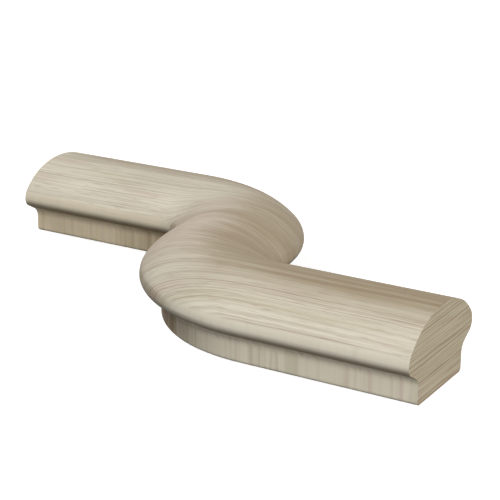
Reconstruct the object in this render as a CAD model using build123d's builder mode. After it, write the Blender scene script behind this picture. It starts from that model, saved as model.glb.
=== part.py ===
from build123d import *
from math import asin, atan2, cos, degrees, radians, sin
import os

# S-turn handrail fitting: one piece of moulded timber, in millimetres.
# Two quarter turns, back to back, carry a moulded handrail sideways from one line to a
# parallel one. A short straight leg runs on past each turn, and its end is cut square to
# meet the next length of rail.
# The origin is the middle of the S, on the flat underside. +X runs along the legs, +Y
# across them and +Z up. Turned half round about Z, the S falls on itself.

# Route of the rail, seen from above
turn_radius = 50.8  # centre line of each quarter turn
leg_length = 84.2  # straight run past each turn

# Base of the section
base_width = 43.5
base_height = 8.3  # plain side, from the underside up to the cove
arris_radius = 1.8  # rounded bottom edge
cove_radius = 5.6

# Grip of the section
rail_width = 63.5
nose_height = 20.0  # widest point, above the underside
dome_height = 17.4  # crown, above the widest point
lower_nose_radius = 4.8
upper_nose_radius = 7.8
crown_easing = 1.1  # how much flatter the crown is than a dome in one arc
crown_half_angle = 20.0  # degrees that the crown turns, each side of the middle

rail_height = nose_height + dome_height
half_rail = rail_width / 2
half_base = base_width / 2

# Ogee under the grip: the straight that touches the lower nose and the cove
lower_nose_centre = Vector(half_rail - lower_nose_radius, nose_height)
cove_centre = Vector(half_base + cove_radius, base_height)
between_centres = lower_nose_centre - cove_centre
ogee_slope = degrees(
    atan2(between_centres.Y, between_centres.X)
    - asin((lower_nose_radius + cove_radius) / between_centres.length)
)

# Dome of the grip: a crown, a shoulder and a nose, each arc tangent to the next
upper_nose_centre = Vector(half_rail - upper_nose_radius, nose_height)
one_arc_radius = (
    upper_nose_centre.X**2 + dome_height**2 - upper_nose_radius**2
) / (2 * (dome_height - upper_nose_radius))
crown_radius = crown_easing * one_arc_radius
crown_centre = Vector(0, rail_height - crown_radius)
crown_end = Vector(sin(radians(crown_half_angle)), cos(radians(crown_half_angle)))
crown_to_nose = upper_nose_centre - crown_centre
nose_along = crown_to_nose.dot(crown_end)
shoulder_radius = (
    crown_radius**2
    - upper_nose_radius**2
    + crown_to_nose.dot(crown_to_nose)
    - 2 * crown_radius * nose_along
) / (2 * (crown_radius - upper_nose_radius - nose_along))
shoulder_centre = crown_centre + crown_end * (crown_radius - shoulder_radius)
shoulder_to_nose = upper_nose_centre - shoulder_centre
upper_nose_angle = degrees(atan2(shoulder_to_nose.Y, shoulder_to_nose.X))
crown_angle = 90 - crown_half_angle

with BuildPart() as s_turn_fitting:
    with BuildLine() as route:
        far_leg = Line(
            (-turn_radius - leg_length, turn_radius), (-turn_radius, turn_radius)
        )
        far_turn = JernArc(far_leg @ 1, far_leg % 1, turn_radius, -90)
        near_turn = JernArc(far_turn @ 1, far_turn % 1, turn_radius, 90)
        near_leg = Line(near_turn @ 1, near_turn @ 1 + near_turn % 1 * leg_length)

    with BuildSketch(Plane(far_leg @ 0, x_dir=(0, 1, 0), z_dir=far_leg % 0)):
        with BuildLine():
            arris = CenterArc(
                (half_base - arris_radius, arris_radius), arris_radius, -90, 90
            )
            underside = Line((0, 0), arris @ 0)
            cove = CenterArc(cove_centre, cove_radius, 180, ogee_slope - 90)
            base_side = Line(arris @ 1, cove @ 0)
            lower_nose = CenterArc(
                lower_nose_centre, lower_nose_radius, ogee_slope - 90, 90 - ogee_slope
            )
            ogee = Line(cove @ 1, lower_nose @ 0)
            upper_nose = CenterArc(
                upper_nose_centre, upper_nose_radius, 0, upper_nose_angle
            )
            shoulder = CenterArc(
                shoulder_centre,
                shoulder_radius,
                upper_nose_angle,
                crown_angle - upper_nose_angle,
            )
            crown = CenterArc(
                crown_centre, crown_radius, crown_angle, crown_half_angle
            )
            mirror(about=Plane.YZ)
        make_face()
    sweep(path=route.line)

s_turn_fitting.part.label = "s_turn_fitting"

os.makedirs("parts", exist_ok=True)
export_step(s_turn_fitting.part, "parts/s_turn_fitting.step")
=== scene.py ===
from math import cos, pi, radians, sin

import bmesh
import bpy
from mathutils import Euler, Matrix, Vector


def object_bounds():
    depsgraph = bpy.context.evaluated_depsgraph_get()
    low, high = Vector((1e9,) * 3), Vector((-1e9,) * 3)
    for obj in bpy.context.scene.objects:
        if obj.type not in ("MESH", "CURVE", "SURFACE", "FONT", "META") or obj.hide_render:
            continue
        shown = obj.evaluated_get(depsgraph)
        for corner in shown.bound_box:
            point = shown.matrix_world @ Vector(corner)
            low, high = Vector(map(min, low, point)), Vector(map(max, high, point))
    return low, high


bl_info = {
    "name": "S-Turn Handrail Fitting",
    "version": (1, 0, 0),
    "blender": (4, 5, 0),
    "location": "3D View > Sidebar > Handrail",
    "description": "Finishes the timber of a moulded s-turn handrail fitting and sets its stage",
    "category": "Object",
}

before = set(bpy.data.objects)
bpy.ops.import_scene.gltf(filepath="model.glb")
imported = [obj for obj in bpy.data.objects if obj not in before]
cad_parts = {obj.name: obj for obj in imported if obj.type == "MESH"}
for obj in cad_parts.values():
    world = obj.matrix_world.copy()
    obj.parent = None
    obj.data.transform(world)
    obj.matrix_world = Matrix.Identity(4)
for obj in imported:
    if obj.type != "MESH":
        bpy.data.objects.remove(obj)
cad_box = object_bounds()
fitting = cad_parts["s_turn_fitting"]

MM = 0.001

# Sizes of the stage, in metres, and the width of the camera's sensor in millimetres
LAMP_DISTANCE = 2.0
LAMP_WIDTH = 0.9
FLOOR_HALF_WIDTH = 4.0
SENSOR_WIDTH = 36

# Sockets of the Mix node when it mixes colours
MIX_FACTOR, MIX_A, MIX_B, MIX_RESULT = 0, 6, 7, 2
# Setting of a Map Range node that rises softly and levels off softly
SOFTLY = {"interpolation_type": "SMOOTHSTEP"}

# Where the wood is pinkest, and where the base is brownest and darkest: brown streaks with painted shade
# in the hollow under the nose
PINK_MIDDLE = (-8 * MM, -10 * MM, 20 * MM)
BROWN_SHADED_HOLLOW = (-26 * MM, -14 * MM, 4 * MM)
# Where along X the steep sides start to be yellower, and where they are yellowest
STRAW_ALONG = (-10 * MM, -60 * MM)
# How many times finer the second set of growth lines is
FINER_ON_LONG_FACES = 2.3
FINER_ON_ENDS = 2.0
# Depth of the skin that is coloured as a cut end
END_SKIN = 0.02 * MM


def linear(hex_colour):
    """Turns an sRGB hex colour into the linear colour that Blender works in."""
    channels = [int(hex_colour[i:i + 2], 16) / 255 for i in (1, 3, 5)]
    curved = [c / 12.92 if c <= 0.04045 else ((c + 0.055) / 1.055) ** 2.4 for c in channels]
    return (*curved, 1.0)


def add_node(tree, kind, settings, inputs):
    """Adds a node, gives it its settings, fills or links its inputs and returns its outputs."""
    node = tree.nodes.new(kind)
    for name, value in settings.items():
        setattr(node, name, value)
    for key, value in inputs.items():
        if isinstance(value, bpy.types.NodeSocket):
            tree.links.new(value, node.inputs[key])
        else:
            node.inputs[key].default_value = value
    return node.outputs


class TimberSettings(bpy.types.PropertyGroup):
    """Colours and grain of the timber"""

    cream: bpy.props.FloatVectorProperty(
        name="Cream",
        description="Palest wood, between the growth lines",
        subtype="COLOR", size=4, min=0, max=1, default=linear("#CFC9B8"),
    )
    pink: bpy.props.FloatVectorProperty(
        name="Pink",
        description="Wood of the pinkish streaks",
        subtype="COLOR", size=4, min=0, max=1, default=linear("#CBBBAC"),
    )
    heartwood: bpy.props.FloatVectorProperty(
        name="Heartwood",
        description="Browner wood of the back and the turns",
        subtype="COLOR", size=4, min=0, max=1, default=linear("#98896F"),
    )
    olive: bpy.props.FloatVectorProperty(
        name="Olive",
        description="Wood of the greenish streaks",
        subtype="COLOR", size=4, min=0, max=1, default=linear("#C2BDA3"),
    )
    straw: bpy.props.FloatVectorProperty(
        name="Straw",
        description="Yellower wood of the steep sides of the far leg",
        subtype="COLOR", size=4, min=0, max=1, default=linear("#D0BE9E"),
    )
    side: bpy.props.FloatVectorProperty(
        name="Side",
        description="Palest wood of the base",
        subtype="COLOR", size=4, min=0, max=1, default=linear("#DBD3BF"),
    )
    growth_line: bpy.props.FloatVectorProperty(
        name="Growth line",
        description="Dark line that a year's growth ends with",
        subtype="COLOR", size=4, min=0, max=1, default=linear("#877058"),
    )
    end_grain: bpy.props.FloatVectorProperty(
        name="End grain",
        description="Wood of the two cut ends",
        subtype="COLOR", size=4, min=0, max=1, default=linear("#B7AC93"),
    )
    # This colour is painted shade: it darkens the crease under the nose and the lower nose above it
    crease_shade: bpy.props.FloatVectorProperty(
        name="Crease",
        description="Dust in the crease under the nose",
        subtype="COLOR", size=4, min=0, max=1, default=linear("#5A4825"),
    )
    ring_spacing: bpy.props.FloatProperty(
        name="Ring spacing",
        description="Distance between the even rings on the long faces",
        unit="LENGTH", min=0.2 * MM, default=2.0 * MM,
    )
    line_spacing: bpy.props.FloatProperty(
        name="Line spacing",
        description="Usual distance between growth lines on the long faces",
        unit="LENGTH", min=0.2 * MM, default=1.4 * MM,
    )
    end_line_spacing: bpy.props.FloatProperty(
        name="End line spacing",
        description="Usual distance between growth lines on the cut ends",
        unit="LENGTH", min=0.2 * MM, default=1.3 * MM,
    )
    band_width: bpy.props.FloatProperty(
        name="Band width",
        description="Usual width of the upright bands on the steep sides",
        unit="LENGTH", min=0.2 * MM, default=3.5 * MM,
    )


class StageSettings(bpy.types.PropertyGroup):
    """Camera, lamps and floor"""

    camera_azimuth: bpy.props.FloatProperty(
        name="Camera azimuth",
        description="How far the camera stands round to the right of the front",
        subtype="ANGLE", default=radians(30.30),
    )
    camera_elevation: bpy.props.FloatProperty(
        name="Camera elevation",
        description="How far the camera looks down",
        subtype="ANGLE", default=radians(18.62),
    )
    camera_roll: bpy.props.FloatProperty(
        name="Camera roll",
        description="Turn of the camera about its own line of sight",
        subtype="ANGLE", default=radians(0.683),
    )
    camera_distance: bpy.props.FloatProperty(
        name="Camera distance",
        description="From the camera to the point that it looks at",
        unit="LENGTH", min=0.1, default=0.7458,
    )
    aim_right: bpy.props.FloatProperty(
        name="Aim right",
        description="How far right of the origin the camera looks, as it sees it",
        unit="LENGTH", default=0.01237,
    )
    aim_up: bpy.props.FloatProperty(
        name="Aim up",
        description="How far above the origin the camera looks, as it sees it",
        unit="LENGTH", default=0.02021,
    )
    lens: bpy.props.FloatProperty(
        name="Lens",
        description="Focal length on a sensor 36 mm wide",
        unit="CAMERA", min=1, default=111.63,
    )
    key: bpy.props.FloatProperty(
        name="Key lamp",
        description="Level of the lamp in front on the right",
        min=0, default=0.15,
    )
    open_light: bpy.props.FloatProperty(
        name="Open light",
        description="Level of the light from the same side that throws no shadow",
        min=0, default=0.73,
    )
    low: bpy.props.FloatProperty(
        name="Low light",
        description="Level of the light, without a shadow, that reaches in under the grip",
        min=0, default=0.25,
    )
    left: bpy.props.FloatProperty(
        name="Left lamp",
        description="Level of the lamp on the left",
        min=0, default=0.49,
    )
    back: bpy.props.FloatProperty(
        name="Back lamp",
        description="Level of the low lamp behind",
        min=0, default=0.20,
    )
    sky: bpy.props.FloatProperty(
        name="Sky",
        description="Level of the even light from all round",
        min=0, default=0.085,
    )
    sky_colour: bpy.props.FloatVectorProperty(
        name="Sky colour",
        description="Colour of the even light from all round",
        subtype="COLOR", size=4, min=0, max=1, default=linear("#FFFBF5"),
    )


# Growth lines and streaks that stand out. Each is a place across the grain and half a width,
# the middle of its run along the grain and half its length, and a strength.
STANDING_OUT = (
    (-55.0 * MM, 0.9 * MM, 30 * MM, 90 * MM, 0.30),
    (-53.5 * MM, 1.8 * MM, 100 * MM, 75 * MM, 0.42),
    (-66.7 * MM, 0.7 * MM, 70 * MM, 110 * MM, 0.25),
    (-70.0 * MM, 13.0 * MM, 85 * MM, 95 * MM, 0.12),
    (-75.0 * MM, 0.6 * MM, 80 * MM, 90 * MM, 0.20),
    (-47.5 * MM, 0.8 * MM, 80 * MM, 80 * MM, 0.30),
    (-42.5 * MM, 1.2 * MM, 90 * MM, 80 * MM, 0.30),
    (-37.0 * MM, 2.4 * MM, 95 * MM, 95 * MM, 0.36),
    (-32.0 * MM, 5.0 * MM, 14 * MM, 34 * MM, 0.12),
    (-21.0 * MM, 3.0 * MM, 20 * MM, 34 * MM, 0.16),
    (7.5 * MM, 0.7 * MM, 18 * MM, 34 * MM, 0.24),
    (10.5 * MM, 0.7 * MM, 18 * MM, 34 * MM, 0.20),
    (14.0 * MM, 0.9 * MM, 16 * MM, 40 * MM, 0.28),
    (31.0 * MM, 0.7 * MM, -95 * MM, 62 * MM, 0.32),
    (38.5 * MM, 0.5 * MM, -60 * MM, 90 * MM, 0.20),
    (50.5 * MM, 1.2 * MM, -70 * MM, 90 * MM, 0.22),
    (66.0 * MM, 26.0 * MM, -64 * MM, 84 * MM, 0.60),
)


def drawn_out_noise(tree, place, along, across, upwards, detail=1.0):
    """Noise about zero, with blotches of these sizes along X, Y and Z, and finer ones for more detail."""
    stretched = add_node(
        tree, "ShaderNodeMapping", {},
        {"Vector": place, "Scale": (1 / along, 1 / across, 1 / upwards)},
    )["Vector"]
    return add_node(
        tree, "ShaderNodeTexNoise", {"normalize": False},
        {"Vector": stretched, "Scale": 1.0, "Detail": detail},
    )["Fac"]


def wandering(tree, place, line, wanders):
    """A straight coordinate bent by noise. Each wander is its reach and the sizes of its blotches."""
    for reach, sizes in wanders:
        noise = drawn_out_noise(tree, place, *sizes)
        line = add_node(
            tree, "ShaderNodeMath", {"operation": "MULTIPLY_ADD"}, {0: noise, 1: reach, 2: line},
        )["Value"]
    return line


def uneven_lines(tree, line, spacing, fading):
    """Noise about zero that makes lines about this far apart, which come and go with the fading."""
    lines = add_node(
        tree, "ShaderNodeTexNoise", {"noise_dimensions": "1D", "normalize": False},
        {"W": line, "Scale": 1 / spacing, "Detail": 2.0, "Roughness": 0.6},
    )["Fac"]
    return add_node(
        tree, "ShaderNodeMath", {"operation": "MULTIPLY_ADD"}, {0: fading, 1: 0.5, 2: lines},
    )["Value"]


def lay_tints(tree, colour, tints):
    """Lays tints on in turn. Each is a value, its limits for none and full, its most and a colour."""
    for value, none_at, full_at, most, tint in tints:
        share = add_node(
            tree, "ShaderNodeMapRange", SOFTLY,
            {"Value": value, "From Min": none_at, "From Max": full_at, "To Max": most},
        )["Result"]
        colour = add_node(
            tree, "ShaderNodeMix", {"data_type": "RGBA"},
            {MIX_FACTOR: share, MIX_A: colour, MIX_B: tint},
        )[MIX_RESULT]
    return colour


def heartwood_share(tree, place, across):
    """How much of the wood is heartwood: more towards +X and +Y, less in the front nose."""
    # It comes in quickly over the middle of the S, and then slowly along the near leg
    deepening = add_node(
        tree, "ShaderNodeVectorMath", {"operation": "DOT_PRODUCT"}, {0: place, 1: (1.0, 0.3, 0.0)},
    )["Value"]
    deepening = wandering(tree, place, deepening, ((10 * MM, (40 * MM, 7 * MM, 40 * MM)),))
    quick = add_node(
        tree, "ShaderNodeMapRange", SOFTLY,
        {"Value": deepening, "From Min": -22 * MM, "From Max": 15 * MM, "To Max": 0.62},
    )["Result"]
    slow = add_node(
        tree, "ShaderNodeMapRange", SOFTLY,
        {"Value": deepening, "From Min": -24 * MM, "From Max": 105 * MM, "To Max": 0.42},
    )["Result"]
    share = add_node(tree, "ShaderNodeMath", {"operation": "ADD"}, {0: quick, 1: slow})["Value"]
    behind = add_node(
        tree, "ShaderNodeMapRange", SOFTLY,
        {"Value": across, "From Min": -80 * MM, "From Max": -44 * MM},
    )["Result"]
    return add_node(tree, "ShaderNodeMath", {"operation": "MULTIPLY"}, {0: share, 1: behind})["Value"]


def long_grain(tree, timber, place, along, across, heart, turned_nose):
    """Colour of the faces that run with the grain."""
    # Broad zones lean to green and to pink, and the middle of the S is pinkest
    zones = add_node(
        tree, "ShaderNodeTexNoise", {"noise_dimensions": "1D", "normalize": False},
        {"W": across, "Scale": 1 / (8 * MM), "Detail": 2.0},
    )["Fac"]
    zones = wandering(tree, place, zones, ((0.8, (55 * MM, 7 * MM, 40 * MM, 2.0)),))
    off_pink = add_node(
        tree, "ShaderNodeVectorMath", {"operation": "DISTANCE"}, {0: place, 1: PINK_MIDDLE},
    )["Value"]
    colour = lay_tints(tree, timber.cream, (
        (zones, -0.1, 1.2, 0.6, timber.olive),
        (zones, -0.1, -1.2, 0.8, timber.pink),
        (off_pink, 60 * MM, 15 * MM, 0.8, timber.pink),
        (heart, 0.0, 1.0, 1.0, timber.heartwood),
        (turned_nose, 0.1, 1.0, 0.5, timber.heartwood),
    ))

    # Fairly even rings, with uneven finer lines between them, all of which come and go
    rings = wandering(tree, place, across, ((3 * MM, (200 * MM, 14 * MM, 100 * MM)),))
    rings = add_node(
        tree, "ShaderNodeMath", {"operation": "MULTIPLY"}, {0: rings, 1: 2 * pi / timber.ring_spacing},
    )["Value"]
    rings = add_node(tree, "ShaderNodeMath", {"operation": "SINE"}, {0: rings})["Value"]
    rings = wandering(tree, place, rings, ((0.8, (40 * MM, 5 * MM, 40 * MM)),))
    colour = lay_tints(tree, colour, ((rings, 0.2, 1.4, 0.20, timber.growth_line),))
    fading = drawn_out_noise(tree, place, 45 * MM, 6 * MM, 40 * MM)
    finer_spacing = timber.line_spacing / FINER_ON_LONG_FACES
    for spacing, most in ((timber.line_spacing, 0.22), (finer_spacing, 0.32)):
        lines = uneven_lines(tree, across, spacing, fading)
        colour = lay_tints(tree, colour, (
            (lines, -0.1, 0.9, most, timber.growth_line),
            (lines, 0.0, -1.0, most, timber.cream),
        ))

    for centre, half_width, middle, half_length, most in STANDING_OUT:
        off_line = add_node(
            tree, "ShaderNodeMath", {"operation": "SUBTRACT"}, {0: across, 1: centre},
        )["Value"]
        off_line = add_node(tree, "ShaderNodeMath", {"operation": "ABSOLUTE"}, {0: off_line})["Value"]
        off_run = add_node(
            tree, "ShaderNodeMath", {"operation": "SUBTRACT"}, {0: along, 1: middle},
        )["Value"]
        off_run = add_node(tree, "ShaderNodeMath", {"operation": "ABSOLUTE"}, {0: off_run})["Value"]
        run = add_node(
            tree, "ShaderNodeMapRange", SOFTLY,
            {"Value": off_run, "From Min": half_length, "From Max": half_length / 2},
        )["Result"]
        line = add_node(
            tree, "ShaderNodeMapRange", SOFTLY,
            {"Value": off_line, "From Min": half_width, "From Max": 0.0, "To Max": run},
        )["Result"]
        colour = lay_tints(tree, colour, ((line, 0.0, 1.0, most, timber.growth_line),))
    return colour


def steep_sides(tree, timber, place, along, heart, low):
    """Colour of the steep sides: a plain nose, and a base whose grain comes out in upright bands."""
    broad_width = 4 * timber.band_width
    broad = drawn_out_noise(tree, place, broad_width, broad_width, 300 * MM, 2.0)
    bands = drawn_out_noise(tree, place, timber.band_width, timber.band_width, 120 * MM, 2.0)
    # The base is browner in the hollow of the S that faces -X and -Y: brown streaks with painted shade
    # under the overhanging nose
    off_shaded_hollow = add_node(
        tree, "ShaderNodeVectorMath", {"operation": "DISTANCE"}, {0: place, 1: BROWN_SHADED_HOLLOW},
    )["Value"]
    off_shaded_hollow = wandering(tree, place, off_shaded_hollow, (
        (9 * MM, (9 * MM, 9 * MM, 200 * MM)),
        (9 * MM, (2.5 * MM, 2.5 * MM, 90 * MM)),
    ))
    return lay_tints(tree, timber.side, (
        (broad, 0.0, 0.7, 0.8, timber.olive),
        (along, *STRAW_ALONG, 0.60, timber.straw),
        (bands, 0.1, 0.8, 0.80, timber.pink),
        (bands, -0.1, -0.9, 0.45, timber.growth_line),
        # Brown streaks and painted shade in the hollow under the nose
        (off_shaded_hollow, 78 * MM, 48 * MM, 0.95, timber.heartwood),
        (off_shaded_hollow, 60 * MM, 46 * MM, 0.80, timber.growth_line),
        (low, 1.0, 0.0, 0.85, timber.cream),
        (along, *STRAW_ALONG, 0.30, timber.straw),
        (heart, 0.0, 1.0, 0.9, timber.heartwood),
    ))


def cut_ends(tree, timber, place):
    """Colour of the two ends, where the growth lines lie level, one above the other."""
    up = add_node(tree, "ShaderNodeSeparateXYZ", {}, {"Vector": place})["Z"]
    up = wandering(tree, place, up, (
        (0.5 * MM, (400 * MM, 70 * MM, 60 * MM)),
        (0.12 * MM, (400 * MM, 7 * MM, 4 * MM)),
    ))
    patches = drawn_out_noise(tree, place, 400 * MM, 50 * MM, 5 * MM)
    colour = lay_tints(tree, timber.end_grain, (
        (patches, 0.0, 0.9, 0.4, timber.pink),
        (patches, 0.0, -0.9, 0.5, timber.olive),
    ))
    fading = drawn_out_noise(tree, place, 400 * MM, 30 * MM, 1.5 * MM)
    finer_spacing = timber.end_line_spacing / FINER_ON_ENDS
    for spacing, most in ((timber.end_line_spacing, 0.68), (finer_spacing, 0.55)):
        lines = uneven_lines(tree, up, spacing, fading)
        colour = lay_tints(tree, colour, ((lines, -0.1, 0.8, most, timber.growth_line),))
    return colour


def white_oak_moulded_and_sanded(timber):
    """White oak, run through a moulder, sanded and left bare: pale, matt and streaked along X."""
    material = bpy.data.materials.new("white_oak_moulded_and_sanded")
    material.use_nodes = True
    tree = material.node_tree
    tree.nodes.clear()

    coordinates = add_node(tree, "ShaderNodeTexCoord", {}, {})
    place = coordinates["Object"]
    axes = add_node(tree, "ShaderNodeSeparateXYZ", {}, {"Vector": place})
    along = axes["X"]
    # The grain runs along X and wanders by a millimetre or two over the length of a leg
    across = wandering(tree, place, axes["Y"], (
        (1.8 * MM, (130 * MM, 90 * MM, 200 * MM)),
        (0.3 * MM, (30 * MM, 9 * MM, 60 * MM)),
    ))
    heart = heartwood_share(tree, place, across)

    facing = add_node(tree, "ShaderNodeSeparateXYZ", {}, {"Vector": coordinates["Normal"]})
    # 0 where a face looks up, as the crown does, and 1 on the nose and the base
    upright = add_node(
        tree, "ShaderNodeMapRange", SOFTLY, {"Value": facing["Z"], "From Min": 0.62, "From Max": 0.28},
    )["Result"]
    # 0 at the nose and 1 at the base
    low = add_node(
        tree, "ShaderNodeMapRange", SOFTLY,
        {"Value": axes["Z"], "From Min": 19 * MM, "From Max": 12 * MM},
    )["Result"]
    # Round the turns the nose lies across the grain, which runs on over it and is browner there
    turned = add_node(tree, "ShaderNodeMath", {"operation": "ABSOLUTE"}, {0: facing["X"]})["Value"]
    turned_nose = add_node(
        tree, "ShaderNodeMapRange", SOFTLY,
        {"Value": turned, "From Min": 0.20, "From Max": 0.60, "To Max": upright},
    )["Result"]
    steep = add_node(
        tree, "ShaderNodeMapRange", SOFTLY,
        {"Value": turned, "From Min": 0.60, "From Max": 0.20, "To Min": low},
    )["Result"]
    steep = add_node(tree, "ShaderNodeMath", {"operation": "MULTIPLY"}, {0: steep, 1: upright})["Value"]
    # Painted shade: the crease between the nose and the cove, and the lower nose above it, are darkened
    # towards brown
    over_cove = add_node(
        tree, "ShaderNodeMapRange", SOFTLY,
        {"Value": axes["Z"], "From Min": 12.6 * MM, "From Max": 14.2 * MM},
    )["Result"]
    crease_shade = add_node(
        tree, "ShaderNodeMapRange", SOFTLY,
        {"Value": axes["Z"], "From Min": 20.8 * MM, "From Max": 14.8 * MM, "To Max": over_cove},
    )["Result"]
    from_middle = add_node(tree, "ShaderNodeMath", {"operation": "ABSOLUTE"}, {0: along})["Value"]
    at_end = add_node(
        tree, "ShaderNodeMath", {"operation": "GREATER_THAN"},
        {0: from_middle, 1: cad_box[1].x - END_SKIN},
    )["Value"]

    # Fibres are about a fiftieth of a millimetre wide, and are drawn as coarse as they need to show
    fibres = drawn_out_noise(tree, place, 9 * MM, 0.45 * MM, 4 * MM, 2.0)
    colour = lay_tints(tree, long_grain(tree, timber, place, along, across, heart, turned_nose), (
        (fibres, 0.0, 0.9, 0.34, timber.growth_line),
        (steep, 0.0, 1.0, 1.0, steep_sides(tree, timber, place, along, heart, low)),
        # Painted shade in the crease and on the lower nose
        (crease_shade, 0.0, 1.0, 0.85, timber.crease_shade),
        (at_end, 0.0, 1.0, 1.0, cut_ends(tree, timber, place)),
    ))
    roughness = add_node(
        tree, "ShaderNodeMapRange", {},
        {"Value": fibres, "From Min": -1.0, "From Max": 1.0, "To Min": 0.62, "To Max": 0.78},
    )["Result"]
    relief = add_node(
        tree, "ShaderNodeBump", {"invert": True}, {"Height": fibres, "Distance": 0.02 * MM},
    )["Normal"]
    surface = add_node(
        tree, "ShaderNodeBsdfPrincipled", {},
        {
            "Base Color": colour, "Roughness": roughness, "IOR": 1.5,
            "Specular IOR Level": 0.2, "Normal": relief,
        },
    )["BSDF"]
    add_node(tree, "ShaderNodeOutputMaterial", {}, {"Surface": surface})
    return material


class HANDRAIL_OT_finish_timber(bpy.types.Operator):
    """Give the moulded fitting its bare sanded oak"""

    bl_idname = "handrail.finish_timber"
    bl_label = "Finish timber"

    def execute(self, context):
        fitting.material_slots[0].material = white_oak_moulded_and_sanded(context.scene.handrail_timber)
        return {"FINISHED"}


def camera_axes(stage):
    """Right, up and back of the camera, from its azimuth, elevation and roll."""
    azimuth, elevation, roll = stage.camera_azimuth, stage.camera_elevation, stage.camera_roll
    back = Vector((sin(azimuth) * cos(elevation), -cos(azimuth) * cos(elevation), sin(elevation)))
    level_right = Vector((cos(azimuth), sin(azimuth), 0))
    level_up = back.cross(level_right)
    right = cos(roll) * level_right + sin(roll) * level_up
    up = cos(roll) * level_up - sin(roll) * level_right
    return right, up, back


def add_camera(stage):
    """Sets the camera at the photograph's angle and distance."""
    right, up, back = camera_axes(stage)
    camera = bpy.data.objects.new("camera", bpy.data.cameras.new("camera"))
    bpy.context.scene.collection.objects.link(camera)
    place = stage.aim_right * right + stage.aim_up * up + stage.camera_distance * back
    turn = Matrix((right, up, back)).transposed()
    camera.matrix_world = Matrix.Translation(place) @ turn.to_4x4()
    camera.data.sensor_width = SENSOR_WIDTH
    camera.data.lens = stage.lens
    bpy.context.scene.camera = camera


# Each lamp's name, its setting, its degrees round to the right of the front, its degrees up and
# whether it throws a shadow
LAMPS = (
    ("key_lamp", "key", 48, 35, True),
    ("open_lamp", "open_light", 48, 35, False),
    ("low_lamp", "low", 48, 0, False),
    ("left_lamp", "left", -75, 50, True),
    ("back_lamp", "back", 165, 15, True),
)


def add_lamp(name, level, azimuth, elevation, shadow):
    """Adds a softbox that faces the origin. Alone at level 1 it lights a facing white card to white."""
    lamp = bpy.data.lights.new(name, "AREA")
    lamp.size = LAMP_WIDTH
    lamp.use_shadow = shadow
    lamp.energy = level * (pi * LAMP_DISTANCE) ** 2
    holder = bpy.data.objects.new(name, lamp)
    bpy.context.scene.collection.objects.link(holder)
    turn = Euler((radians(90 - elevation), 0, radians(azimuth))).to_matrix().to_4x4()
    holder.matrix_world = turn @ Matrix.Translation((0, 0, LAMP_DISTANCE))


def seen_directly(tree):
    """1 for rays that show the surroundings to the camera, by themselves, in gloss or through glass."""
    rays = add_node(tree, "ShaderNodeLightPath", {}, {})
    seen = rays["Is Camera Ray"]
    for kind in ("Is Glossy Ray", "Is Transmission Ray"):
        seen = add_node(
            tree, "ShaderNodeMath", {"operation": "MAXIMUM"}, {0: seen, 1: rays[kind]},
        )["Value"]
    return seen


def matt_white_paint():
    """Floor paint: the camera sees it white, with a soft shadow on it."""
    material = bpy.data.materials.new("matt_white_paint")
    material.use_nodes = True
    tree = material.node_tree
    tree.nodes.clear()
    # Dull to the light that it throws back on to the fitting, and glowing enough to be seen white
    dull = add_node(tree, "ShaderNodeBsdfDiffuse", {}, {"Color": linear("#404040")})["BSDF"]
    paint = add_node(tree, "ShaderNodeBsdfDiffuse", {}, {"Color": linear("#D2D2D2")})["BSDF"]
    glow = add_node(tree, "ShaderNodeEmission", {}, {"Strength": 0.62})["Emission"]
    glowing = add_node(tree, "ShaderNodeAddShader", {}, {0: paint, 1: glow})["Shader"]
    surface = add_node(tree, "ShaderNodeMixShader", {}, {0: seen_directly(tree), 1: dull, 2: glowing})
    add_node(tree, "ShaderNodeOutputMaterial", {}, {"Surface": surface["Shader"]})
    return material


def add_floor():
    """Adds a plain pale floor under the fitting."""
    mesh = bpy.data.meshes.new("floor")
    sheet = bmesh.new()
    bmesh.ops.create_grid(sheet, x_segments=1, y_segments=1, size=FLOOR_HALF_WIDTH)
    sheet.to_mesh(mesh)
    sheet.free()
    mesh.materials.append(matt_white_paint())
    floor = bpy.data.objects.new("floor", mesh)
    bpy.context.scene.collection.objects.link(floor)


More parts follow.
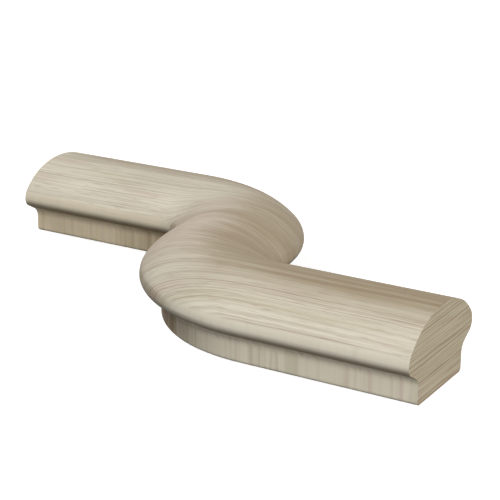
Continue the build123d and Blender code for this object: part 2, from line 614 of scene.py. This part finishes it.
def set_sky(stage):
    """Lights the stage evenly from all round, before a white background."""
    world = bpy.data.worlds.new("studio")
    world.use_nodes = True
    tree = world.node_tree
    tree.nodes.clear()
    seen = seen_directly(tree)
    colour = lay_tints(tree, stage.sky_colour, ((seen, 0.0, 1.0, 1.0, linear("#FFFFFF")),))
    level = add_node(
        tree, "ShaderNodeMapRange", {}, {"Value": seen, "To Min": stage.sky, "To Max": 1.0},
    )["Result"]
    sky = add_node(tree, "ShaderNodeBackground", {}, {"Color": colour, "Strength": level})["Background"]
    add_node(tree, "ShaderNodeOutputWorld", {}, {"Surface": sky})
    bpy.context.scene.world = world


class HANDRAIL_OT_set_stage(bpy.types.Operator):
    """Set the floor, the lamps, the white surroundings and the camera"""

    bl_idname = "handrail.set_stage"
    bl_label = "Set stage"

    def execute(self, context):
        stage = context.scene.handrail_stage
        add_camera(stage)
        add_floor()
        for name, setting, azimuth, elevation, shadow in LAMPS:
            add_lamp(name, getattr(stage, setting), azimuth, elevation, shadow)
        set_sky(stage)
        context.scene.view_settings.view_transform = "Standard"
        return {"FINISHED"}


class HANDRAIL_PT_panel(bpy.types.Panel):
    """Handrail tab of the sidebar"""

    bl_idname = "HANDRAIL_PT_panel"
    bl_label = "S-Turn Handrail Fitting"
    bl_space_type = "VIEW_3D"
    bl_region_type = "UI"
    bl_category = "Handrail"

    def draw(self, context):
        for settings, operator in (
            (context.scene.handrail_timber, HANDRAIL_OT_finish_timber),
            (context.scene.handrail_stage, HANDRAIL_OT_set_stage),
        ):
            box = self.layout.box()
            for name in settings.__annotations__:
                box.prop(settings, name)
            box.operator(operator.bl_idname)


classes = (
    TimberSettings,
    StageSettings,
    HANDRAIL_OT_finish_timber,
    HANDRAIL_OT_set_stage,
    HANDRAIL_PT_panel,
)


def register():
    for each in classes:
        bpy.utils.register_class(each)
    bpy.types.Scene.handrail_timber = bpy.props.PointerProperty(type=TimberSettings)
    bpy.types.Scene.handrail_stage = bpy.props.PointerProperty(type=StageSettings)


def unregister():
    del bpy.types.Scene.handrail_stage
    del bpy.types.Scene.handrail_timber
    for each in reversed(classes):
        bpy.utils.unregister_class(each)


def main():
    register()
    bpy.ops.handrail.finish_timber()
    bpy.ops.handrail.set_stage()


if __name__ == "__main__":
    main()
